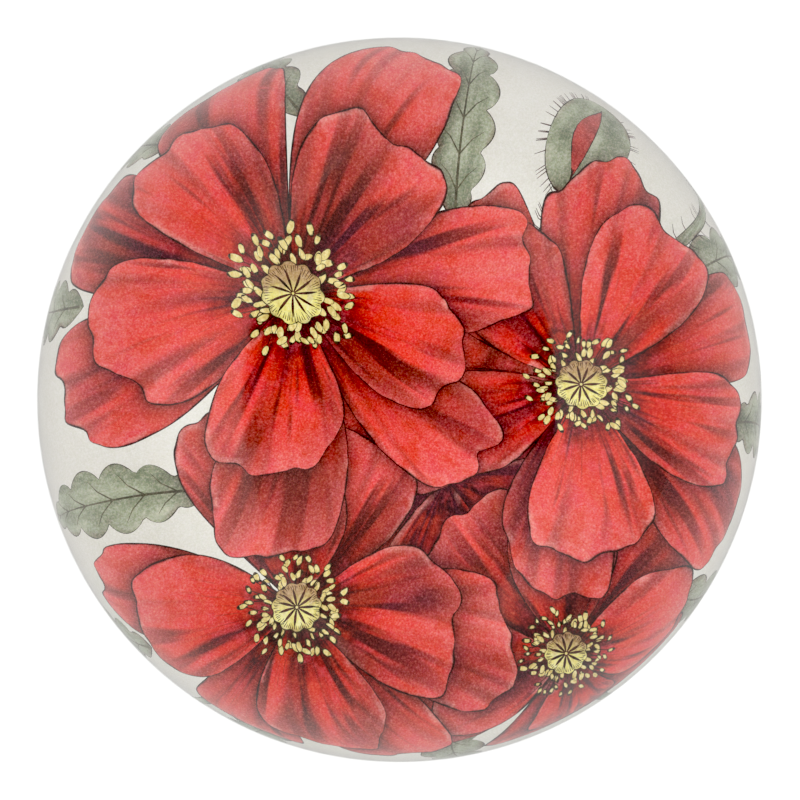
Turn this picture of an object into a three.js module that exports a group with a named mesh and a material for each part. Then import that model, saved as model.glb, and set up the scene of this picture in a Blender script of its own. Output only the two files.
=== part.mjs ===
// A domed paperweight: a solid clear glass dome glued over a printed paper disc, with a felt pad beneath.
// Millimetres, +Z up. The origin is the middle of the felt's underside, and +Z is the dome's axis.
import * as THREE from "three";

// The dome at its widest, just above its rounded foot
const DOME_DIAMETER = 89;
const GLASS_HEIGHT = 44.5;
// Exponent of the dome's curve: 2 is a half circle, and more stands steeper near the foot
const DOME_FULLNESS = 2.3;
const FOOT_ROUNDING = 1.1;

// The paper and the felt stop a little short of the glass above them
const PAPER_DIAMETER = 86.2;
const PAPER_THICKNESS = 0.3;
const FELT_DIAMETER = 85.4;
const FELT_THICKNESS = 1.7;
const FELT_ROUNDING = 0.4;

// Facets: steps round the axis, along the dome's curve, and along each small rounding
const SIDES = 96;
const DOME_STEPS = 30;
const FOOT_STEPS = 5;
const FELT_STEPS = 3;

const paperBottom = FELT_THICKNESS;
const glassBottom = paperBottom + PAPER_THICKNESS;

// A quarter circle in the profile's plane, from angle `from` to angle `to`
function arc(centreR, centreZ, radius, from, to, steps) {
  const points = [];
  for (let i = 0; i <= steps; i++) {
    const a = from + ((to - from) * i) / steps;
    points.push(new THREE.Vector2(centreR + radius * Math.cos(a), centreZ + radius * Math.sin(a)));
  }
  return points;
}

// The dome's curve, from just above its widest point up to just below the axis
function domeCurve(radius, baseZ, height) {
  const points = [];
  for (let i = 1; i < DOME_STEPS; i++) {
    const a = ((Math.PI / 2) * i) / DOME_STEPS;
    const r = radius * Math.cos(a) ** (2 / DOME_FULLNESS);
    const z = baseZ + height * Math.sin(a) ** (2 / DOME_FULLNESS);
    points.push(new THREE.Vector2(r, z));
  }
  return points;
}

// Turns a profile that starts and ends on the axis, from bottom to top, into a closed body with +Z up
function turned(name, profile, material) {
  const geometry = new THREE.LatheGeometry(profile, SIDES);
  geometry.rotateX(Math.PI / 2);
  const mesh = new THREE.Mesh(geometry, new THREE.MeshStandardMaterial(material));
  mesh.name = name;
  return mesh;
}

const object = new THREE.Group();

// Solid glass: a flat underside, a rounded foot and one unbroken curve over the top
const domeRadius = DOME_DIAMETER / 2;
const widestZ = glassBottom + FOOT_ROUNDING;
const glassTop = glassBottom + GLASS_HEIGHT;
const glassProfile = [
  new THREE.Vector2(0, glassBottom),
  ...arc(domeRadius - FOOT_ROUNDING, widestZ, FOOT_ROUNDING, -Math.PI / 2, 0, FOOT_STEPS),
  ...domeCurve(domeRadius, widestZ, glassTop - widestZ),
  new THREE.Vector2(0, glassTop),
];
object.add(turned("glass_dome", glassProfile, { color: 0xf4f7f5, roughness: 0.02, metalness: 0 }));

// Printed paper disc, flat against the glass
const paperProfile = [
  new THREE.Vector2(0, paperBottom),
  new THREE.Vector2(PAPER_DIAMETER / 2, paperBottom),
  new THREE.Vector2(PAPER_DIAMETER / 2, glassBottom),
  new THREE.Vector2(0, glassBottom),
];
object.add(turned("print_sheet", paperProfile, { color: 0xcb5149, roughness: 0.85, metalness: 0 }));

// Felt pad that the paperweight stands on
const feltRadius = FELT_DIAMETER / 2;
const feltProfile = [
  new THREE.Vector2(0, 0),
  ...arc(feltRadius - FELT_ROUNDING, FELT_ROUNDING, FELT_ROUNDING, -Math.PI / 2, 0, FELT_STEPS),
  new THREE.Vector2(feltRadius, FELT_THICKNESS),
  new THREE.Vector2(0, FELT_THICKNESS),
];
object.add(turned("felt_pad", feltProfile, { color: 0x23302b, roughness: 1, metalness: 0 }));

export default object;
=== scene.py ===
"""Looks for a domed glass paperweight: clear glass over a printed flower picture, on a felt pad.

Lengths are metres, except in the picture's own drawing, which is laid out in millimetres on the paper.
"""
import math
import random

import bpy
import numpy as np
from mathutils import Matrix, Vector, geometry, noise


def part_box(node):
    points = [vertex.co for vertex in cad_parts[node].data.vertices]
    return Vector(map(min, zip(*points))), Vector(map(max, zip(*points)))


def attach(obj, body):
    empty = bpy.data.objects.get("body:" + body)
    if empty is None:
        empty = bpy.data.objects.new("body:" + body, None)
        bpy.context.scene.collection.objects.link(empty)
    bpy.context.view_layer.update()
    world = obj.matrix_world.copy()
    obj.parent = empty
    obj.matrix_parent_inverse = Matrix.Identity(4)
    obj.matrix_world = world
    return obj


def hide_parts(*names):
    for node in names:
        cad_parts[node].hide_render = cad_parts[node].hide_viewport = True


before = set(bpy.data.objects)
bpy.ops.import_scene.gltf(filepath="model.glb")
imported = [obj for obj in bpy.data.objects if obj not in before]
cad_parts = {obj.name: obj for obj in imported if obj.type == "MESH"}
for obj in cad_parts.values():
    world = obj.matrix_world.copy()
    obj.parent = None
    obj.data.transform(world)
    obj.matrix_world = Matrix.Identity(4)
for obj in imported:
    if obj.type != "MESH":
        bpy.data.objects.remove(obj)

MM = 0.001
TURN = 2 * math.pi
UP = Vector((0, 0, 1))

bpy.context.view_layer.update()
glass_low, glass_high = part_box("glass_dome")
paper_low, paper_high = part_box("print_sheet")
felt_low, felt_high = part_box("felt_pad")


# Shader nodes

class Shader:
    """The nodes of a material or a world. Most calls make one node and return its first output."""

    def __init__(self, owner, surface="Principled BSDF"):
        owner.use_nodes = True
        self.owner = owner
        self.tree = owner.node_tree
        self.surface = self.tree.nodes[surface]

    def put(self, socket, value):
        """Links a socket to another one, or sets its own value. A colour is three numbers."""
        if isinstance(value, bpy.types.NodeSocket):
            self.tree.links.new(value, socket)
        elif socket.type == "RGBA":
            socket.default_value = (*value, 1)
        else:
            socket.default_value = value

    def node(self, kind, inputs=None, **settings):
        made = self.tree.nodes.new("ShaderNode" + kind)
        for name, value in settings.items():
            setattr(made, name, value)
        for name, value in (inputs or {}).items():
            self.put(made.inputs[name], value)
        return made

    def place(self):
        """Where a point lies in the object, in metres."""
        return self.node("TexCoord").outputs["Object"]

    def math(self, operation, a, b=0.0, c=0.0):
        return self.node("Math", {0: a, 1: b, 2: c}, operation=operation).outputs[0]

    def times(self, a, b):
        return self.math("MULTIPLY", a, b)

    def vectors(self, operation, a, b, c=(0, 0, 0)):
        return self.node("VectorMath", {0: a, 1: b, 2: c}, operation=operation).outputs[0]

    def ramp(self, value, stops):
        """Colours by value: stops are (position, (r, g, b)) in rising order."""
        made = self.node("ValToRGB", {0: value})
        elements = made.color_ramp.elements
        while len(elements) < len(stops):
            elements.new(1.0)
        for element, (position, colour) in zip(elements, stops):
            element.position = position
            element.color = (*colour, 1)
        return made.outputs[0]

    def step(self, value, low, high):
        """0 below low and 1 above high, with a smooth rise between; falls instead if low is above high."""
        made = self.node("MapRange", {0: value, 1: low, 2: high}, interpolation_type="SMOOTHSTEP")
        return made.outputs[0]

    def mix(self, share, a, b, blend="MIX"):
        made = self.node("Mix", data_type="RGBA", blend_type=blend)
        self.put(made.inputs[0], share)
        self.put(made.inputs[6], a)
        self.put(made.inputs[7], b)
        return made.outputs[2]

    def lay(self, colour, tone, where, strength):
        """Lays a tone over a colour: where is a share from 0 to 1, and strength is the most it covers."""
        return self.mix(self.times(where, strength), colour, tone)

    def noise(self, place, scale, detail=3.0, roughness=0.5, colour=False):
        inputs = {"Vector": place, "Scale": scale, "Detail": detail, "Roughness": roughness}
        made = self.node("TexNoise", inputs)
        return made.outputs["Color" if colour else 0]

    def vector(self, x, y, z):
        return self.node("CombineXYZ", {0: x, 1: y, 2: z}).outputs[0]

    def parts(self, attribute):
        """The three numbers that the mesh stores under one attribute's name."""
        source = self.node("Attribute", attribute_name=attribute)
        return self.node("SeparateXYZ", {0: source.outputs["Vector"]}).outputs

    def finish(self, **values):
        for name, value in values.items():
            self.put(self.surface.inputs[name.replace("_", " ")], value)
        return self.owner


def new_shader(name):
    return Shader(bpy.data.materials.new(name))


def rgb(*levels):
    """A colour written as a screen shows it, from 0 to 255, as linear light by the screen's own curve."""
    shares = [level / 255 for level in levels]
    return tuple(c / 12.92 if c < 0.04045 else ((c + 0.055) / 1.055) ** 2.4 for c in shares)


def new_object(name, vertices, faces, materials):
    mesh = bpy.data.meshes.new(name)
    mesh.from_pydata(vertices, [], faces)
    for material in materials:
        mesh.materials.append(material)
    made = bpy.data.objects.new(name, mesh)
    bpy.context.collection.objects.link(made)
    return made


# Camera: straight down, as in the photograph, from far enough away to look along the dome's axis

CAMERA_HEIGHT = 0.9
SENSOR_WIDTH = 36
VIEW_WIDTH = 0.09868
VIEW_CENTRE = (0.00007, -0.00003)


def place_camera():
    data = bpy.data.cameras.new("camera")
    data.sensor_width = SENSOR_WIDTH
    data.lens = SENSOR_WIDTH * (CAMERA_HEIGHT - glass_low.z) / VIEW_WIDTH
    camera = bpy.data.objects.new("camera", data)
    camera.location = (*VIEW_CENTRE, CAMERA_HEIGHT)
    bpy.context.collection.objects.link(camera)
    bpy.context.scene.camera = camera


# Light: a white ceiling with brighter panels to the left and right, and a dark opening between them

LIGHT_COLOUR = (1.0, 0.995, 0.985)
PANEL_LIGHT = 1.75
MIDDLE_LIGHT = 1.15
OPENING_LIGHT = 0.62
HORIZON_LIGHT = 0.92
# The ceiling fades to the horizon's light over this share of its height
HORIZON_FADE = 0.5
# Places on the ceiling are distances across it, with the ceiling one unit above the paperweight
PANEL_START = 0.80
OPENING_Y = (-0.24, 0.46)
EDGE_SOFTNESS = 0.04
# The lowest direction that still meets the ceiling, so that no place on it is endlessly far away
LOWEST_SIGHT = 0.02
# The backdrop is cut out to white where the camera sees it directly
BACKDROP_LIFT = 0.34
# The picture's levels, as a photograph's are set
BLACK_POINT = 0.04
WHITE_POINT = 0.80
# One scale for all of these: dim light keeps the renderer's noise filter from smoothing the print's grain
LIGHT_LEVEL = 0.2


def set_levels():
    view = bpy.context.scene.view_settings
    view.view_transform = "Standard"
    view.use_curve_mapping = True
    view.curve_mapping.black_level = (BLACK_POINT * LIGHT_LEVEL,) * 3
    view.curve_mapping.white_level = (WHITE_POINT * LIGHT_LEVEL,) * 3
    view.curve_mapping.update()


def light_world():
    world = bpy.data.worlds.new("studio")
    bpy.context.scene.world = world
    sky = Shader(world, "Background")
    way = sky.node("TexCoord").outputs["Generated"]
    x, y, z = sky.node("SeparateXYZ", {0: way}).outputs
    height = sky.math("MAXIMUM", z, LOWEST_SIGHT)
    across = sky.math("ABSOLUTE", sky.math("DIVIDE", x, height))
    along = sky.math("DIVIDE", y, height)
    low, high = OPENING_Y
    after = sky.step(along, low - EDGE_SOFTNESS, low + EDGE_SOFTNESS)
    before = sky.step(along, high + EDGE_SOFTNESS, high - EDGE_SOFTNESS)
    opening = sky.times(after, before)
    middle = sky.math("MULTIPLY_ADD", opening, OPENING_LIGHT - MIDDLE_LIGHT, MIDDLE_LIGHT)
    panel = sky.step(across, PANEL_START - EDGE_SOFTNESS, PANEL_START + EDGE_SOFTNESS)
    ceiling = sky.node("Mix", {0: panel, 2: middle, 3: PANEL_LIGHT}).outputs[0]
    risen = sky.step(z, 0.0, HORIZON_FADE)
    light = sky.node("Mix", {0: risen, 2: HORIZON_LIGHT, 3: ceiling}).outputs[0]
    seen = sky.node("LightPath").outputs["Is Camera Ray"]
    lifted = sky.math("MULTIPLY_ADD", seen, BACKDROP_LIFT, light)
    sky.finish(Color=LIGHT_COLOUR, Strength=sky.times(lifted, LIGHT_LEVEL))


# Floor: pale and plain, with a glow of its own that stands for part of the light it would give back

FLOOR_HALF = 1.5
FLOOR_SCALE = 40.0
FLOOR_GREYS = [(0.3, (0.34, 0.34, 0.335)), (0.7, (0.355, 0.355, 0.3525))]
FLOOR_GLOW = 0.50
# The glow is weaker close round the paperweight: a painted contact shadow on the floor
SHADE_NEAR = 0.040
SHADE_FAR = 0.078
SHADE_DEPTH = 0.65
# The backdrop is not cut out this close to the foot, so that the contact shadow under the dome's edge shows
CONTACT_NEAR = 0.0428
CONTACT_FAR = 0.0452


def make_floor():
    shader = new_shader("floor")
    place = shader.place()
    colour = shader.ramp(shader.noise(place, FLOOR_SCALE, 4.0), FLOOR_GREYS)
    away = shader.node("VectorMath", {0: place}, operation="LENGTH").outputs["Value"]
    # Painted contact shadow: the floor's glow is dimmed between SHADE_FAR and SHADE_NEAR from the
    # paperweight's axis
    shade = shader.math("MULTIPLY_ADD", shader.step(away, SHADE_FAR, SHADE_NEAR), -SHADE_DEPTH, 1.0)
    glow = shader.times(shade, FLOOR_GLOW * LIGHT_LEVEL)
    seen = shader.node("LightPath").outputs["Is Camera Ray"]
    cut = shader.times(seen, shader.step(away, CONTACT_NEAR, CONTACT_FAR))
    lift = shader.math("MULTIPLY_ADD", cut, BACKDROP_LIFT * LIGHT_LEVEL, glow)
    material = shader.finish(
        Base_Color=colour, Roughness=0.8, Emission_Color=(1, 1, 1), Emission_Strength=lift
    )
    half = FLOOR_HALF
    corners = [(-half, -half, 0), (half, -half, 0), (half, half, 0), (-half, half, 0)]
    floor = new_object("floor", corners, [(0, 1, 2, 3)], [material])


# Turned shapes

def turned(name, profile, sides, material):
    """A closed body turned about the axis. Its profile is (radius, z) points that run from the bottom to
    the top and start and end on the axis."""
    vertices = [(0, 0, profile[0][1])]
    for r, z in profile[1:-1]:
        for i in range(sides):
            a = TURN * i / sides
            vertices.append((r * math.cos(a), r * math.sin(a), z))
    vertices.append((0, 0, profile[-1][1]))
    rows = len(profile) - 2
    top = len(vertices) - 1
    faces = []
    for i in range(sides):
        j = (i + 1) % sides
        faces.append((0, 1 + j, 1 + i))
        for k in range(rows - 1):
            low = 1 + k * sides
            faces.append((low + i, low + j, low + sides + j, low + sides + i))
        last = 1 + (rows - 1) * sides
        faces.append((last + i, last + j, top))
    made = new_object(name, vertices, faces, [material])
    made.data.polygons.foreach_set("use_smooth", [True] * len(faces))
    return made


def quarter(centre_r, centre_z, radius, steps):
    """A rounded lower edge: a quarter circle from straight below its centre out to its widest point."""
    angles = [-math.pi / 2 * (1 - i / steps) for i in range(steps + 1)]
    return [(centre_r + radius * math.cos(a), centre_z + radius * math.sin(a)) for a in angles]


# Glass

# Exponent of the dome's curve: 2 is a half circle, and more stands steeper near the foot
DOME_FULLNESS = 2.3
FOOT_ROUNDING = 1.1 * MM
# The glass is sunk this far into the paper's printed face, as the glue leaves no air between them
GLUED = 0.04 * MM
GLASS_SIDES = 360
DOME_STEPS = 130
FOOT_STEPS = 12


def glass_material():
    shader = new_shader("clear_glass")
    return shader.finish(Base_Color=(0.985, 0.995, 0.99), Roughness=0.0, IOR=1.5, Transmission_Weight=1.0)


def make_glass():
    radius, bottom, top = glass_high.x, glass_low.z - GLUED, glass_high.z
    widest = bottom + FOOT_ROUNDING
    profile = [(0, bottom)]
    profile += quarter(radius - FOOT_ROUNDING, widest, FOOT_ROUNDING, FOOT_STEPS)
    for i in range(1, DOME_STEPS):
        a = math.pi / 2 * i / DOME_STEPS
        r = radius * math.cos(a) ** (2 / DOME_FULLNESS)
        z = widest + (top - widest) * math.sin(a) ** (2 / DOME_FULLNESS)
        profile.append((r, z))
    profile.append((0, top))
    glass = turned("polished_glass_dome", profile, GLASS_SIDES, glass_material())
    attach(glass, "root")
    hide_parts("glass_dome")


# Picture: outlines in millimetres on the paper, +Y up, drawn back to front

PAPER_RADIUS = paper_high.x / MM
PAPER_POINTS = 360
MESH_SPACING = 0.62
# Points of the mesh that are closer together than this are one
MERGE_DISTANCE = 1e-5

# The flowers keep within this radius, and are drawn in towards it over the last part of the way
BLOOM_REACH = 34.0
BLOOM_SQUEEZE = 6.0

PETAL_POINTS = 92
# Waves of a petal's edge: how many half turns across it, and how deep, as a share of its length
PETAL_WAVES = ((1.3, 0.035), (2.4, 0.03), (4.3, 0.018), (7.7, 0.006), (13, 0.002))
# Those of the waves that also fold the petal
FOLDING = slice(1, 4)

# Rings of stamens: where their tips start and end, as shares of the heart's size, and how many there are
STAMEN_RINGS = ((0.62, 1.0, 46), (0.46, 0.76, 34))
ANTHER_POINTS = 14
# The seed head's radius as a share of the heart's size, and its scallops' depth as a share of that radius
SEED_HEAD_RADIUS = 0.42
SCALLOP_DEPTH = 0.13
SEED_HEAD_POINTS = 60
SEED_HEAD_RAYS = 11
SEED_HEAD_STROKES = 66

LEAF_POINTS = 70
STEM_POINTS = 24
STEM_HAIRS = 46
BUD_HAIRS = 60
BUD_POINTS = 40
# A stem has hairs only this far out, as the dome would magnify those nearer the rim into loops
HAIRY_REACH = 32.0
# How often the corners of a stem's path are smoothed
STEM_SMOOTHING = 3

# Widths of strokes along their paths, and of the midrib at its two ends
STAMEN_WIDTHS = (0.13, 0.1, 0.08)
RAY_WIDTHS = (0.10, 0.18, 0.24, 0.2, 0.05)
SEED_STROKE_WIDTHS = (0.07, 0.055, 0.02)
MIDRIB_WIDTHS = (0.26, 0.06)
SIDE_VEIN_WIDTHS = (0.14, 0.10, 0.04)
STEM_HAIR_WIDTHS = (0.08, 0.07, 0.03)
BUD_HAIR_WIDTHS = (0.08, 0.06, 0.03)

# Leaves: stalk, tip, width, lobes on each side, and how far the middle bows out
LEAVES = (
    ((-17, -8), (-34, -12), 6.2, 6, -1.2),
    ((5, 16), (8, 35), 5.8, 6, 0.8),
    ((22, 9), (40, 16), 6, 5, 1.0),
    ((4, -24), (8, -41), 6, 5, -1.0),
    ((-20, 22), (-31, 31), 6.5, 5, 1.0),
    ((22, -16), (39, -21), 6, 5, -1.0),
    ((-8, 24), (-15, 40), 5.5, 5, 1.5),
    ((-22, -22), (-37, -23), 6.5, 5, 1.2),
    ((28, -2), (41.5, -5), 6.5, 5, 1.0),
    ((-10, -28), (-16, -40), 6.5, 5, -1.5),
    ((-27, 8), (-41, 11), 6.5, 5, 1.0),
)
# Stems: path, width, and the bud at the end, if any, by its middle, half length, half width and turn
STEMS = (
    (((14, -22), (20, -29), (25, -34)), 1.2, None),
    (((-8, -18), (-19, -29), (-25, -35)), 1.2, None),
    (((8, 6), (12, 13), (15, 19), (16.5, 23)), 1.3, ((16.4, 22.4), 5.2, 3.6, 1.1)),
    (((20, 10), (27, 16), (31.5, 22)), 1.1, ((32.5, 24.0), 4.2, 2.8, 0.9)),
)
# Poppies: centre, radius, turn, rows of petals from the back, the heart's size, or 0 if it is hidden, and how
# narrow the flower looks and which way, as it leans. A row is its number of petals, their length as a share
# of the radius, their half spread, and the row's turn, as a share of the step from one petal to the next.
BACK_POPPIES = (
    ((4.5, -7.5), 16.5, 0.5, ((6, 1.0, 0.70, 0.0),), 0, 1.0, 0.0),
)
FRONT_POPPIES = (
    ((14.2, -21.6), 16.2, 0.95, ((5, 1.0, 0.66, 0.0), (4, 0.78, 0.70, 0.5)), 4.1, 0.90, 2.3),
    ((16.4, 1.4), 19.8, 0.35, ((6, 1.0, 0.47, 0.0), (5, 0.78, 0.58, 0.5)), 4.9, 0.92, 0.4),
    ((-9.0, -18.2), 19.0, 1.0, ((6, 1.0, 0.47, 0.0), (4, 0.76, 0.70, 0.4)), 4.7, 0.90, 1.2),
    ((-9.8, 9.8), 23.2, 0.2, ((7, 1.0, 0.42, 0.0), (5, 0.74, 0.60, 0.5)), 6.1, 0.97, 0.9),
)
GREENERY_SEED = 12
BACK_SEED = 3
FRONT_SEED = 41


class Petal:
    """A fan-shaped petal about a flower's middle. Its edge is a rounded fan with waves."""

    kind = "petal"

    def __init__(self, flower, axis, spread, length, bend, rng):
        self.flower = flower
        self.axis = axis
        self.spread = spread
        self.length = length
        self.bend = bend
        self.seed = rng.random()
        self.waves = [(k, amount * rng.uniform(0.5, 1.2), rng.uniform(0, TURN)) for k, amount in PETAL_WAVES]

    def wave(self, t):
        return sum(amount * np.sin(k * math.pi * t + phase) for k, amount, phase in self.waves)

    def reach(self, t):
        """How far the edge is from the flower's middle at t, from -1 to 1 across the petal."""
        return self.length * (1 - np.abs(t) ** 3.4) ** 0.42 * (1 + self.wave(t))

    def outline(self):
        t = np.clip(np.sin(np.linspace(-math.pi / 2, math.pi / 2, PETAL_POINTS)), -1, 1)
        r = self.reach(t)
        angle = self.axis + t * self.spread + self.bend * (r / self.length) ** 2
        points = np.stack([r * np.cos(angle), r * np.sin(angle)], axis=1)[:-1]
        return self.flower.to_paper(points)

    def local(self, points):
        """(u, v) at each point: u is 0 at the base and 1 at the edge, v is -1 and 1 at the sides."""
        x, y = self.flower.from_paper(points).T
        r = np.hypot(x, y)
        turn = np.arctan2(y, x) - self.axis - self.bend * (r / self.length) ** 2
        turn = (turn + math.pi) % TURN - math.pi
        v = np.clip(turn / self.spread, -1, 1)
        u = np.clip(r / np.maximum(self.reach(v * 0.98), 1e-3), 0, 1)
        return u, v

    def crease(self, u, v):
        """Folds that run in from the waves of the edge, from -1 in a valley to 1 on a ridge."""
        folds = sum(math.sqrt(amount) * np.sin(k * math.pi * v + phase + 0.6 * math.sin(k) * (1 - u))
                    for k, amount, phase in self.waves[FOLDING])
        return np.clip(folds * 2.4, -1, 1) * np.clip(u * 1.6 - 0.15, 0, 1)


class Shape:
    """Any other outline, with a seed. Its u and v run along and across the line from start to end."""

    def __init__(self, kind, outline, seed=0.0, start=(0, 0), end=(1, 0), width=1.0):
        self.kind = kind
        self.points = np.asarray(outline, float)
        self.seed = seed
        self.start = np.array(start, float)
        self.way = np.array(end, float) - self.start
        self.width = width

    def outline(self):
        return self.points

    def local(self, points):
        from_start = np.asarray(points) - self.start
        long = np.hypot(*self.way)
        along = self.way / long
        u = from_start @ along / long
        v = from_start @ np.array([-along[1], along[0]]) / self.width
        return u, v

    def crease(self, u, v):
        return np.zeros_like(u)


class Flower:
    """A flower's own flat coordinates, and where they lie on the paper: narrowed if it leans, and drawn in
    near the picture's rim."""

    def __init__(self, centre, lean, lean_angle):
        self.centre = np.array(centre, float)
        c, s = math.cos(lean_angle), math.sin(lean_angle)
        turn = np.array([[c, -s], [s, c]])
        self.matrix = turn @ np.diag([lean, 1.0]) @ turn.T
        self.inverse = np.linalg.inv(self.matrix)

    def to_paper(self, points):
        points = np.asarray(points) @ self.matrix.T + self.centre
        out = np.maximum(np.hypot(*points.T), 1e-6)
        near = np.minimum(out, BLOOM_REACH - BLOOM_SQUEEZE)
        drawn_in = near + BLOOM_SQUEEZE * np.tanh((out - near) / BLOOM_SQUEEZE)
        return points * (drawn_in / out)[:, None]

    def from_paper(self, points):
        points = np.asarray(points)
        drawn_in = np.maximum(np.hypot(*points.T), 1e-6)
        near = np.minimum(drawn_in, BLOOM_REACH - BLOOM_SQUEEZE)
        share = np.minimum((drawn_in - near) / BLOOM_SQUEEZE, 0.999)
        out = near + BLOOM_SQUEEZE * np.arctanh(share)
        return (points * (out / drawn_in)[:, None] - self.centre) @ self.inverse.T

    def stroke(self, path, widths):
        """A stroke of ink along a path in the flower's own coordinates."""
        return Shape("ink", self.to_paper(strip(path, widths)))


def strip(path, widths):
    """The outline of a stroke along path, with its width at each point."""
    path = np.asarray(path, float)
    way = np.gradient(path, axis=0)
    way /= np.hypot(way[:, 0], way[:, 1])[:, None]
    side = np.stack([-way[:, 1], way[:, 0]], axis=1) * (np.asarray(widths)[:, None] / 2)
    return np.concatenate([path + side, (path - side)[::-1]])


def ring(centre, radius_x, radius_y, turn, count, waves=0, amount=0.0):
    """An ellipse, or a scalloped one."""
    a = np.arange(count) * TURN / count
    swell = 1 + amount * np.abs(np.cos(a * waves / 2))
    x, y = radius_x * swell * np.cos(a), radius_y * swell * np.sin(a)
    c, s = math.cos(turn), math.sin(turn)
    return np.stack([x * c - y * s, x * s + y * c], axis=1) + np.asarray(centre)


def polar(r, a):
    return (r * math.cos(a), r * math.sin(a))


def stamens(flower, size, rng):
    """The rings of stamens, outermost first, each ring's laid over one another in a shuffled order."""
    made = []
    for low, high, count in STAMEN_RINGS:
        chances = [rng.random() for _ in range(count)]
        for i in sorted(range(count), key=chances.__getitem__):
            a = TURN * (i + rng.uniform(-0.3, 0.3)) / count
            far = size * rng.uniform(low, high)
            sway = rng.uniform(-0.12, 0.12)
            path = [polar(size * 0.36, a), polar(far * 0.72, a + sway), polar(far, a)]
            made.append(flower.stroke(path, STAMEN_WIDTHS))
            turn = a + rng.uniform(-0.9, 0.9)
            long = size * rng.uniform(0.085, 0.115)
            anther = ring(polar(far, a), long, long * 0.52, turn, ANTHER_POINTS)
            made.append(Shape("anther", flower.to_paper(anther), rng.random()))
    return made


def seed_head(flower, size, rng):
    """A scalloped disc with dark rays, and short strokes in from its edge."""
    radius = size * SEED_HEAD_RADIUS
    head = ring((0, 0), radius, radius, rng.random(), SEED_HEAD_POINTS, SEED_HEAD_RAYS, SCALLOP_DEPTH)
    # Its u and v are about 1 at the tips of the scallops
    span = size * 0.47
    side = flower.centre + (span, 0)
    made = [Shape("capsule", flower.to_paper(head), rng.random(), flower.centre, side, span)]
    for i in range(SEED_HEAD_RAYS):
        a = TURN * (i + 0.15 * rng.uniform(-1, 1)) / SEED_HEAD_RAYS
        reach = size * rng.uniform(0.33, 0.38)
        path = [polar(r, a + 0.04 * r) for r in np.linspace(0.12, reach, len(RAY_WIDTHS))]
        made.append(flower.stroke(path, RAY_WIDTHS))
    hatch = random.Random(round(size * 100))
    for i in range(SEED_HEAD_STROKES):
        a = TURN * (i + 0.3 * hatch.uniform(-1, 1)) / SEED_HEAD_STROKES
        outer = size * hatch.uniform(0.40, 0.43)
        inner = size * hatch.uniform(0.27, 0.37)
        path = [polar(r, a + 0.03 * r) for r in (outer, (outer + inner) / 2, inner)]
        made.append(flower.stroke(path, SEED_STROKE_WIDTHS))
    return made


def poppy(centre, radius, turn, rows, heart, lean, lean_angle, rng):
    """One flower: its rows of petals, and its heart unless that is hidden."""
    flower = Flower(centre, lean, lean_angle)
    made = []
    for count, long, spread, offset in rows:
        order = list(range(count))
        rng.shuffle(order)
        for i in order:
            axis = turn + TURN * (i + offset) / count + rng.uniform(-0.13, 0.13)
            length = radius * long * rng.uniform(0.94, 1.05)
            half = spread * rng.uniform(0.93, 1.08)
            bend = rng.uniform(-0.12, 0.12)
            made.append(Petal(flower, axis, half, length, bend, rng))
    if heart:
        made += stamens(flower, heart, rng)
        made += seed_head(flower, heart, rng)
    return made


def leaf(start, end, width, lobes, bow, rng):
    """A lobed leaf from its stalk to its tip, with its midrib and side veins."""
    start, end = np.array(start, float), np.array(end, float)
    way = end - start
    side = np.array([-way[1], way[0]]) / np.hypot(*way)
    s = np.linspace(0, 1, LEAF_POINTS)
    teeth = 0.62 + 0.38 * np.abs(np.sin(math.pi * lobes * s ** 0.9)) ** 0.7
    half = width / 2 * np.sin(math.pi * s ** 0.85) ** 0.75 * teeth
    middle = start + s[:, None] * way + (4 * bow * s * (1 - s))[:, None] * side
    one, other = middle + half[:, None] * side, middle - half[:, None] * side
    outline = np.concatenate([one[:-1], other[:0:-1]])
    midrib = middle[2:-7:4]
    made = [Shape("leaf", outline, rng.random(), start, end, width / 2)]
    made.append(Shape("vein", strip(midrib, np.linspace(*MIDRIB_WIDTHS, len(midrib)))))
    for i in range(1, lobes + 1):
        k = int(i / (lobes + 1) * (LEAF_POINTS - 1))
        for sign in (1, -1):
            tip = middle[k + 7] + sign * side * half[k + 6] * 0.7
            path = [middle[k], (middle[k] + tip) / 2 + way * 0.015, tip]
            made.append(Shape("vein", strip(path, SIDE_VEIN_WIDTHS)))
    return made


def stem(path, width, rng):
    """A hairy stem along a path, whose corners are smoothed."""
    path = np.array(path, float)
    t = np.linspace(0, len(path) - 1, STEM_POINTS)
    line = np.stack([np.interp(t, range(len(path)), path[:, i]) for i in range(2)], axis=1)
    for _ in range(STEM_SMOOTHING):
        line[1:-1] = (line[:-2] + line[1:-1] + line[2:]) / 3
    made = []
    for _ in range(STEM_HAIRS):
        k = rng.randrange(1, STEM_POINTS - 1)
        sign = rng.choice((-1, 1))
        way = line[k + 1] - line[k - 1]
        way /= np.hypot(*way)
        side = np.array([-way[1], way[0]]) * sign
        root = line[k] + way * rng.uniform(-0.5, 0.5)
        knee = root + side * (width * 0.5 + 0.5) + way * 0.25
        tip = root + side * (width * 0.5 + 1.1) + way * 0.7
        if np.hypot(*root) < HAIRY_REACH:
            made.append(Shape("ink", strip([root, knee, tip], STEM_HAIR_WIDTHS)))
    outline = strip(line, np.full(STEM_POINTS, width))
    made.append(Shape("stem", outline, rng.random(), line[0], line[-1], width / 2))
    return made


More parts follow.
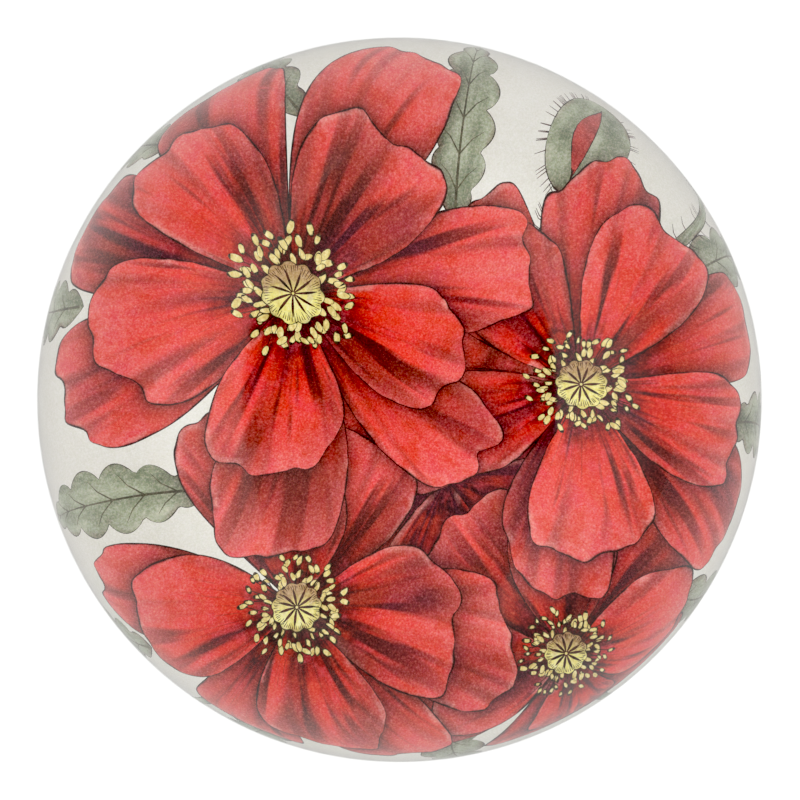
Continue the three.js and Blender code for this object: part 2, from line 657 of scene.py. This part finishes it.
def bud(centre, long, wide, turn, rng):
    """A nodding bud that shows a little red between its two green halves."""
    centre = np.array(centre)
    c, s = math.cos(turn), math.sin(turn)
    axis = np.array([c, s]) * long
    made = []
    for _ in range(BUD_HAIRS):
        a = rng.uniform(0, TURN)
        x, y = long * math.cos(a), wide * math.sin(a)
        way = np.array([x * c - y * s, x * s + y * c])
        out = way * (1 + 0.9 / np.hypot(*way))
        path = [centre + way * 0.95, centre + (way + out) / 2, centre + out]
        made.append(Shape("ink", strip(path, BUD_HAIR_WIDTHS)))
    green = ring(centre, long, wide, turn, BUD_POINTS)
    made.append(Shape("leaf", green, rng.random(), centre - axis, centre + axis, wide))
    a = np.linspace(-0.9, 0.9, 12)
    upper = np.stack([long * np.sin(a), wide * 0.5 * np.cos(a * 1.7) ** 2 * 0.9], axis=1)
    under = np.stack([long * np.sin(a[::-1]), -wide * 0.08 * np.cos(a[::-1] * 1.7)], axis=1)
    slit = np.concatenate([upper, under]) @ np.array([[c, s], [-s, c]]) + centre
    made.append(Shape("slit", slit, rng.random(), centre, centre + axis, wide))
    return made


def draw_picture():
    """All outlines, back to front."""
    drawn = []
    rng = random.Random(GREENERY_SEED)
    for laid in LEAVES:
        drawn += leaf(*laid, rng)
    for path, width, top in STEMS:
        drawn += stem(path, width, rng)
        if top:
            drawn += bud(*top, rng)
    for seed, poppies in ((BACK_SEED, BACK_POPPIES), (FRONT_SEED, FRONT_POPPIES)):
        rng = random.Random(seed)
        for laid in poppies:
            drawn += poppy(*laid, rng)
    return drawn


# The picture as a mesh: the paper disc cut along every outline

# Petals and seed heads cast a soft shade on what lies under them, which fades over this distance
SHADE_CASTERS = ("petal", "capsule")
SHADE_CATCHERS = ("petal", "leaf", "stem")
COVER_FADE = 0.9
# Beyond this distance that shade is too weak to see
COVER_LIMIT = 4
# What bare paper stores as its distance from an outline
FAR_FROM_OUTLINES = 9.0


def distance(points, outline):
    """From each point to the nearest place on a closed outline."""
    best = np.full(len(points), np.inf)
    for a, b in zip(outline, np.roll(outline, -1, axis=0)):
        way = b - a
        length = max(float(way @ way), 1e-12)
        along = np.clip((points - a) @ way / length, 0, 1)
        gap = points - a - along[:, None] * way
        best = np.minimum(best, np.hypot(gap[:, 0], gap[:, 1]))
    return best


def inside(points, outline):
    """Which points lie within a closed outline, by counting the edges to the right of each."""
    x, y = points.T
    hit = np.zeros(len(points), bool)
    for (x1, y1), (x2, y2) in zip(outline, np.roll(outline, -1, axis=0)):
        if y1 != y2:
            at = x1 + (y - y1) * (x2 - x1) / (y2 - y1)
            hit ^= ((y1 > y) != (y2 > y)) & (x < at)
    return hit


def grid():
    """Points all over the paper, in rows of even triangles."""
    row_height = MESH_SPACING * math.sqrt(3) / 2
    rows = int(PAPER_RADIUS / row_height) + 1
    points = []
    for row in range(-rows, rows + 1):
        for column in range(-rows - 2, rows + 3):
            x, y = (column + (row % 2) / 2) * MESH_SPACING, row * row_height
            if math.hypot(x, y) < PAPER_RADIUS - MESH_SPACING / 2:
                points.append(Vector((x, y)))
    return points


def tile(outlines):
    """Cuts the paper disc into triangles that no outline crosses. Returns the places, each triangle's
    corners, counter-clockwise, and the number of the topmost outline over it, or -1 on bare paper."""
    rim = ring((0, 0), PAPER_RADIUS, PAPER_RADIUS, 0, PAPER_POINTS)
    points, edges = [], []
    for outline in (rim, *outlines):
        first, count = len(points), len(outline)
        points += [Vector(p) for p in outline]
        edges += [(first + i, first + (i + 1) % count) for i in range(count)]
    found = geometry.delaunay_2d_cdt(points + grid(), edges, [], 0, MERGE_DISTANCE, False)
    places = np.array([tuple(p) for p in found[0]])
    corners = np.array(found[2])
    corners = corners[inside(places[corners].mean(axis=1), rim)]
    middles = places[corners].mean(axis=1)
    tops = np.full(len(corners), -1)
    for number, outline in enumerate(outlines):
        low, high = outline.min(axis=0), outline.max(axis=0)
        near = np.nonzero(((middles > low) & (middles < high)).all(axis=1))[0]
        tops[near[inside(middles[near], outline)]] = number
    used, corners = np.unique(corners, return_inverse=True)
    places, corners = places[used], corners.reshape(-1, 3)
    a, b, c = (places[corners[:, i]] for i in range(3))
    turn = (b[:, 0] - a[:, 0]) * (c[:, 1] - a[:, 1]) - (b[:, 1] - a[:, 1]) * (c[:, 0] - a[:, 0])
    corners[turn < 0] = corners[turn < 0][:, ::-1]
    return places, corners, tops


def rim_loop(corners):
    """The corners round the disc in order, along the sides that only one triangle has."""
    sides = np.concatenate([corners[:, [0, 1]], corners[:, [1, 2]], corners[:, [2, 0]]])
    known = dict.fromkeys((int(i), int(j)) for i, j in sides)
    following = {i: j for i, j in known if (j, i) not in known}
    loop = [next(iter(following))]
    while following[loop[-1]] != loop[0]:
        loop.append(following[loop[-1]])
    return loop


def cut_sheet(places, corners, materials):
    """The tiled disc with its edge and underside, which has the rim's places again, one thickness lower."""
    loop = rim_loop(corners)
    below, count = len(places), len(loop)
    vertices = [(x * MM, y * MM, paper_high.z) for x, y in places]
    vertices += [(places[i][0] * MM, places[i][1] * MM, paper_low.z) for i in loop]
    faces = [tuple(int(i) for i in triangle) for triangle in corners]
    for k in range(count):
        n = (k + 1) % count
        faces.append((loop[k], below + k, below + n, loop[n]))
    faces.append(tuple(below + k for k in reversed(range(count))))
    return new_object("printed_sheet", vertices, faces, materials)


def shade_from_above(number, points, drawn, outlines):
    """How deep points of one shape lie in the shade of the petals and seed heads above it, from 0 to 1."""
    shade = np.zeros(len(points))
    low, high = points.min(axis=0) - COVER_LIMIT, points.max(axis=0) + COVER_LIMIT
    for shape, outline in zip(drawn[number + 1:], outlines[number + 1:]):
        near = (outline.max(axis=0) > low).all() and (outline.min(axis=0) < high).all()
        if near and shape.kind in SHADE_CASTERS:
            shade = np.maximum(shade, np.exp(-distance(points, outline) / COVER_FADE))
    return shade


def measure(drawn, outlines, places, corners, tops):
    """What the materials read at each triangle's corners: place is (u, v, seed), and shade is the distance
    from the outline, the shade from above and the crease."""
    place = np.zeros((len(corners), 3, 3))
    shade = np.zeros((len(corners), 3, 3))
    shade[..., 0] = FAR_FROM_OUTLINES
    for number, shape in enumerate(drawn):
        mine = np.nonzero(tops == number)[0]
        if not len(mine):
            continue
        used, back = np.unique(corners[mine], return_inverse=True)
        back = back.reshape(-1, 3)
        points = places[used]
        u, v = shape.local(points)
        edge = distance(points, outlines[number])
        cover = np.zeros(len(points))
        if shape.kind in SHADE_CATCHERS:
            cover = shade_from_above(number, points, drawn, outlines)
        place[mine] = np.stack([u, v, np.full(len(u), shape.seed)], axis=1)[back]
        shade[mine] = np.stack([edge, cover, shape.crease(u, v)], axis=1)[back]
    return place, shade


# The picture's materials

INK = rgb(32, 8, 3)
PALE_INK = rgb(96, 44, 34)
# The ink line's soft inner shade
SOFT_SHADE = rgb(110, 45, 42)
PAPER = [(0.25, rgb(233, 230, 220)), (0.5, rgb(240, 237, 229)), (0.75, rgb(244, 242, 236))]

# A petal from its dark base to its pale edge, and the tones that are laid over it
RED = [
    (0.12, rgb(30, 3, 5)), (0.25, rgb(78, 6, 6)), (0.36, rgb(158, 24, 14)), (0.45, rgb(222, 52, 40)),
    (0.60, rgb(242, 76, 66)), (0.80, rgb(244, 93, 87)), (1.0, rgb(245, 114, 110)),
]
WARM_WASH = rgb(238, 68, 44)
ORANGE_BLOTCH = rgb(232, 68, 40)
PINK_BLOTCH = rgb(240, 80, 92)
VALLEY = rgb(124, 44, 36)
RIDGE = rgb(252, 116, 112)
TURNED_EDGE = rgb(250, 158, 150)
DUSK = [(0.15, rgb(40, 4, 4)), (0.5, rgb(76, 18, 14)), (0.9, rgb(108, 44, 36))]
PLUM_DUSK = rgb(80, 24, 44)
SHADOW = rgb(124, 48, 36)
PLUM_SHADOW = rgb(108, 44, 60)
HAIR_LINE = rgb(74, 10, 12)

GREEN = [(0.30, rgb(122, 130, 106)), (0.5, rgb(168, 174, 148)), (0.72, rgb(212, 214, 192))]
GREEN_INK = (rgb(74, 70, 54), rgb(120, 116, 92))
CREAM = [(0.30, rgb(214, 186, 112)), (0.55, rgb(240, 222, 152)), (0.75, rgb(250, 238, 184))]
SEED_HEAD = [(0.30, rgb(226, 208, 120)), (0.5, rgb(246, 236, 150)), (0.75, rgb(250, 246, 190))]
SEED_HEAD_SHADED = rgb(176, 128, 96)
SCARLET = [(0.30, rgb(150, 40, 34)), (0.7, rgb(214, 84, 76))]
UNDER_PETALS = rgb(70, 40, 30)

# How closely each pattern of noise lies, per metre
PAPER_SCALE = 130.0
BLOTCH_SCALE = 480.0
CURL_SCALE = 260.0
PLUM_SCALE = 95.0
LINE_SCALE = 420.0
STROKE_SCALE = 900.0
GRAIN_SCALE = 6200.0
# How strongly the grain changes how dense the ink is, and the share of it that is coloured
GRAIN_DENSITY = 1.95
GRAIN_HUE = 0.16
LEAST_DENSITY = 0.1
# The grain on bare paper and on single strokes, against that on washed colour
PAPER_GRAIN = 1.28
STROKE_GRAIN = 0.7
# How much light the whole print gives back, against the colours that are written here
PRINT_LEVEL = 0.83


def printed(shader, colour, place, grain=1.0):
    """Adds the printing's grain, which lays ink on more and less densely, and finishes a matt colour with no
    gloss of its own under the glass."""
    fine = shader.noise(place, GRAIN_SCALE, 2.0, 0.7)
    hue = shader.noise(place, GRAIN_SCALE, 2.0, 0.7, colour=True)
    speckle = shader.mix(GRAIN_HUE, fine, hue)
    swing = grain * GRAIN_DENSITY
    density = shader.vectors("MULTIPLY_ADD", speckle, (swing,) * 3, (1 - swing / 2,) * 3)
    density = shader.vectors("MAXIMUM", density, (LEAST_DENSITY,) * 3)
    inked = shader.vectors("POWER", colour, density)
    shown = shader.vectors("MULTIPLY", inked, (PRINT_LEVEL,) * 3)
    return shader.finish(Base_Color=shown, Roughness=0.9, Specular_IOR_Level=0.0)


def outlined(shader, colour, edge, place, line_width, band):
    """Draws the ink line along an outline, uneven in width, and a soft shade inside it that is band wide."""
    uneven = shader.noise(place, LINE_SCALE, 3.0)
    soft = shader.times(shader.step(edge, band, 0.0), shader.step(uneven, 0.40, 0.68))
    colour = shader.lay(colour, SOFT_SHADE, soft, 0.55)
    width = shader.math("MULTIPLY_ADD", shader.step(uneven, 0.25, 0.75), line_width * 1.45, line_width * 0.25)
    inner = shader.times(width, 0.55)
    line = shader.node("MapRange", {0: edge, 1: inner, 2: width, 3: 1.0, 4: 0.0}).outputs[0]
    colour = shader.lay(colour, INK, line, 0.96)
    return printed(shader, colour, place)


def paper_material():
    shader = new_shader("bare_paper")
    place = shader.place()
    colour = shader.ramp(shader.noise(place, PAPER_SCALE, 4.0, 0.6), PAPER)
    return printed(shader, colour, place, PAPER_GRAIN)


def petal_material():
    shader = new_shader("printed_petal")
    place = shader.place()
    u, v, seed = shader.parts("place")
    edge, cover, crease = shader.parts("shade")
    shift = shader.times(seed, 37.0)

    def bands(across, along, detail):
        """Noise that is drawn out along the petal, with so many swings across and along it."""
        where = shader.vector(shader.times(v, across), shader.times(u, along), shift)
        return shader.noise(where, 1.0, detail, 0.55)

    # The washed red, from the petal's base to its edge
    wash = bands(1.6, 1.2, 2.0)
    streak = bands(3.7, 0.9, 2.0)
    tone = shader.math("MULTIPLY_ADD", wash, 0.40, u)
    tone = shader.math("MULTIPLY_ADD", streak, 0.40, tone)
    tone = shader.math("SUBTRACT", tone, 0.40)
    colour = shader.ramp(tone, RED)
    colour = shader.lay(colour, WARM_WASH, shader.step(bands(2.4, 2.0, 3.0), 0.52, 0.70), 0.5)

    # Mottling, folds and pale turned edges
    blotch = shader.noise(place, BLOTCH_SCALE, 3.0)
    colour = shader.lay(colour, ORANGE_BLOTCH, shader.step(blotch, 0.50, 0.64), 0.58)
    colour = shader.lay(colour, PINK_BLOTCH, shader.step(blotch, 0.48, 0.34), 0.50)
    colour = shader.lay(colour, VALLEY, shader.step(crease, -0.10, -0.9), 0.68)
    curl = shader.noise(place, CURL_SCALE, 2.0)
    curled = shader.times(shader.step(edge, 0.75, 0.25), shader.step(curl, 0.55, 0.64))
    colour = shader.lay(colour, TURNED_EDGE, curled, 0.7)
    colour = shader.lay(colour, RIDGE, shader.step(crease, 0.25, 1.0), 0.24)

    # Broad shadows, dark streaks and the shade of the petals above, which turn plum in places
    plum = shader.times(shader.step(shader.noise(place, PLUM_SCALE, 2.0), 0.46, 0.60), 0.65)
    dusk = shader.mix(plum, shader.ramp(u, DUSK), PLUM_DUSK)
    shadow = shader.mix(plum, SHADOW, PLUM_SHADOW)
    shaded = shader.times(shader.step(bands(1.3, 0.7, 1.0), 0.48, 0.35), shader.step(u, 1.15, 0.75))
    colour = shader.lay(colour, shadow, shaded, 0.64)
    dark_streak = shader.times(shader.step(streak, 0.475, 0.355), shader.step(u, 1.25, 0.55))
    colour = shader.lay(colour, dusk, dark_streak, 0.92)
    colour = shader.lay(colour, dusk, cover, 0.80)

    # Hair lines out from the base
    lines = shader.times(shader.step(bands(26.0, 2.2, 3.0), 0.42, 0.36), shader.step(u, 0.85, 0.15))
    colour = shader.lay(colour, HAIR_LINE, lines, 0.5)
    return outlined(shader, colour, edge, place, 0.15, 0.45)


def tinted_material(name, stops, line_width, band, shaded=None):
    """Washed colour that runs along and across any shape but a petal, with an ink outline. One side of the
    shape may be shaded with a darker colour."""
    shader = new_shader(name)
    u, v, seed = shader.parts("place")
    edge, cover, _ = shader.parts("shade")
    where = shader.vector(shader.times(u, 3.0), shader.times(v, 1.4), shader.times(seed, 23.0))
    wash = shader.noise(where, 1.0, 4.0, 0.6)
    colour = shader.ramp(wash, stops)
    if shaded:
        across = shader.math("MULTIPLY_ADD", wash, 1.4, v)
        colour = shader.lay(colour, shaded, shader.step(across, 0.50, 1.25), 0.8)
    colour = shader.lay(colour, UNDER_PETALS, cover, 0.5)
    return outlined(shader, colour, edge, shader.place(), line_width, band)


def ink_material(name, dark, pale):
    shader = new_shader(name)
    place = shader.place()
    colour = shader.ramp(shader.noise(place, STROKE_SCALE, 3.0), [(0.3, dark), (0.7, pale)])
    return printed(shader, colour, place, STROKE_GRAIN)


def print_materials():
    """The material of each kind of shape, and of bare paper, in the order of the sheet's slots."""
    return {
        "paper": paper_material(),
        "petal": petal_material(),
        "ink": ink_material("ink_strokes", INK, PALE_INK),
        "vein": ink_material("printed_vein", *GREEN_INK),
        "leaf": tinted_material("printed_leaf", GREEN, 0.09, 0.7),
        "stem": tinted_material("printed_stem", GREEN, 0.09, 0.5),
        "anther": tinted_material("printed_anther", CREAM, 0.07, 0.1),
        "capsule": tinted_material("printed_seed_head", SEED_HEAD, 0.09, 0.6, SEED_HEAD_SHADED),
        "slit": tinted_material("printed_bud_petal", SCARLET, 0.09, 0.5),
    }


def make_print():
    drawn = draw_picture()
    outlines = [shape.outline() for shape in drawn]
    places, corners, tops = tile(outlines)
    materials = print_materials()
    sheet = cut_sheet(places, corners, materials.values())

    place, shade = measure(drawn, outlines, places, corners, tops)
    for name, values in (("place", place), ("shade", shade)):
        stored = np.zeros((len(sheet.data.loops), 3))
        stored[:3 * len(corners)] = values.reshape(-1, 3)
        attribute = sheet.data.attributes.new(name, "FLOAT_VECTOR", "CORNER")
        attribute.data.foreach_set("vector", stored.ravel())

    # Bare paper's number, -1, picks the last entry, the paper's slot. The edge and underside have it too.
    kinds = list(materials)
    slot_of = np.array([kinds.index(shape.kind) for shape in drawn] + [kinds.index("paper")])
    slots = np.full(len(sheet.data.polygons), kinds.index("paper"))
    slots[:len(tops)] = slot_of[tops]
    sheet.data.polygons.foreach_set("material_index", slots)
    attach(sheet, "root")
    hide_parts("print_sheet")


# Felt pad: pressed wool, cut to a disc and glued under the paper

FELT_ROUNDING = 0.4 * MM
FELT_SIDES = 720
FELT_ROWS = 14
FELT_CORNER_STEPS = 6
# The top's flat middle ends at this share of the radius
FELT_FLAT = 0.97
# How far the cut edge wavers in and out, beyond which share of the radius, and how closely, per metre
EDGE_WAVER = 0.07 * MM
WAVER_START = 0.98
COARSE_WAVER = 500
FINE_WAVER = 2600
# The loose fibres that stand out of the edge: thin tubes with their roots a little way inside it
FIBRE_SEED = 7
FIBRES = 2600
FIBRE_LENGTH = (0.35 * MM, 1.15 * MM)
FIBRE_THICKNESS = (0.018 * MM, 0.034 * MM)
FIBRE_ROOT = 0.08 * MM
FIBRE_TAPER = 0.55
FIBRE_STEPS = 3
FIBRE_SIDES = 3

# How closely each pattern of noise lies in the felt, per metre
BEND_SCALE = 700.0
MATTED_SCALE = 2600.0
CLOUD_SCALE = 190.0
FIBRE_SCALE = 1500.0

FELT_TONES = [(0.32, (0.006, 0.010, 0.009)), (0.5, (0.017, 0.027, 0.023)), (0.68, (0.050, 0.070, 0.060))]
FELT_FADED = (0.040, 0.052, 0.046)
FIBRE_TONES = [(0.35, (0.012, 0.018, 0.016)), (0.65, (0.075, 0.095, 0.085))]


def felt_material():
    shader = new_shader("pressed_felt")
    place = shader.place()
    bent = shader.mix(0.0011, place, shader.noise(place, BEND_SCALE, 2.0, 0.5, colour=True), "ADD")
    matted = shader.noise(bent, MATTED_SCALE, 4.0, 0.75)
    cloudy = shader.noise(place, CLOUD_SCALE, 3.0)
    colour = shader.ramp(matted, FELT_TONES)
    colour = shader.lay(colour, FELT_FADED, shader.step(cloudy, 0.45, 0.70), 0.35)
    bump = shader.node("Bump", {"Strength": 0.9, "Distance": 0.00012, "Height": matted})
    return shader.finish(
        Base_Color=colour, Roughness=0.96, Specular_IOR_Level=0.2, Sheen_Weight=0.35, Sheen_Roughness=0.6,
        Normal=bump.outputs[0]
    )


def fibre_material():
    shader = new_shader("felt_fibres")
    colour = shader.ramp(shader.noise(shader.place(), FIBRE_SCALE, 2.0), FIBRE_TONES)
    return shader.finish(Base_Color=colour, Roughness=0.9, Specular_IOR_Level=0.2, Sheen_Weight=0.3)


def drawn_in(height):
    """How far the felt's rounded lower edge draws in at a height above its underside."""
    if height >= FELT_ROUNDING:
        return 0.0
    drop = FELT_ROUNDING - height
    return FELT_ROUNDING - math.sqrt(FELT_ROUNDING ** 2 - drop ** 2)


def make_pad(radius, bottom, top):
    """The felt disc, with its cut edge wavering in and out."""
    corner = bottom + FELT_ROUNDING
    profile = [(0, bottom)]
    profile += quarter(radius - FELT_ROUNDING, corner, FELT_ROUNDING, FELT_CORNER_STEPS)
    profile += [(radius, corner + (top - corner) * i / FELT_ROWS) for i in range(1, FELT_ROWS + 1)]
    profile += [(radius * FELT_FLAT, top), (0, top)]
    felt = turned("glued_felt_pad", profile, FELT_SIDES, felt_material())
    for vertex in felt.data.vertices:
        co = vertex.co
        out = math.hypot(co.x, co.y)
        if out > radius * WAVER_START:
            waver = noise.noise(co * COARSE_WAVER) + 0.7 * noise.noise(co * FINE_WAVER)
            move = 1 + EDGE_WAVER * max(-1.0, min(1.0, waver)) / out
            co.x *= move
            co.y *= move
    return felt


def fibre_points(radius, bottom, top, rng):
    """The points of one bent, tapering fibre at a random place on the edge, ring by ring from its root."""
    angle = rng.uniform(0, TURN)
    height = bottom + (top - bottom) * rng.uniform(0.05, 0.97)
    out = Vector((*polar(1, angle), 0))
    along = Vector((-out.y, out.x, 0))
    root = out * (radius - drawn_in(height - bottom) - FIBRE_ROOT) + UP * height
    way = out * rng.uniform(0.25, 1.0) + along * rng.uniform(-1.1, 1.1) + UP * rng.uniform(-0.5, 0.35)
    way.normalize()
    curl = along * rng.uniform(-0.9, 0.9) + UP * rng.uniform(-0.5, 0.4)
    length = rng.uniform(*FIBRE_LENGTH)
    thick = rng.uniform(*FIBRE_THICKNESS)
    side = way.cross(UP if abs(way.z) < 0.8 else out).normalized()
    up = side.cross(way)
    points = []
    for k in range(FIBRE_STEPS + 1):
        t = k / FIBRE_STEPS
        middle = root + (way * t + curl * (0.5 * t * t)) * length
        middle.z = min(max(middle.z, bottom + thick), top - thick)
        width = thick * (1 - FIBRE_TAPER * t)
        for c in range(FIBRE_SIDES):
            turn = TURN * c / FIBRE_SIDES
            points.append(middle + (side * math.cos(turn) + up * math.sin(turn)) * width)
    return points


def fibre_faces(first):
    """The sides and the two caps of the fibre whose first point has this number."""
    faces = []
    for k in range(FIBRE_STEPS):
        low = first + FIBRE_SIDES * k
        for c in range(FIBRE_SIDES):
            a, b = low + c, low + (c + 1) % FIBRE_SIDES
            faces.append((a, b, b + FIBRE_SIDES, a + FIBRE_SIDES))
    last = first + FIBRE_SIDES * FIBRE_STEPS
    faces.append(tuple(first + c for c in reversed(range(FIBRE_SIDES))))
    faces.append(tuple(last + c for c in range(FIBRE_SIDES)))
    return faces


def make_felt():
    radius, bottom, top = felt_high.x - EDGE_WAVER, felt_low.z, felt_high.z
    felt = make_pad(radius, bottom, top)
    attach(felt, "root")
    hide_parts("felt_pad")

    rng = random.Random(FIBRE_SEED)
    vertices, faces = [], []
    for _ in range(FIBRES):
        faces += fibre_faces(len(vertices))
        vertices += fibre_points(radius, bottom, top, rng)
    fuzz = new_object("felt_fuzz", vertices, faces, [fibre_material()])
    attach(fuzz, "root")


place_camera()
set_levels()
light_world()
make_floor()
make_glass()
make_print()
make_felt()
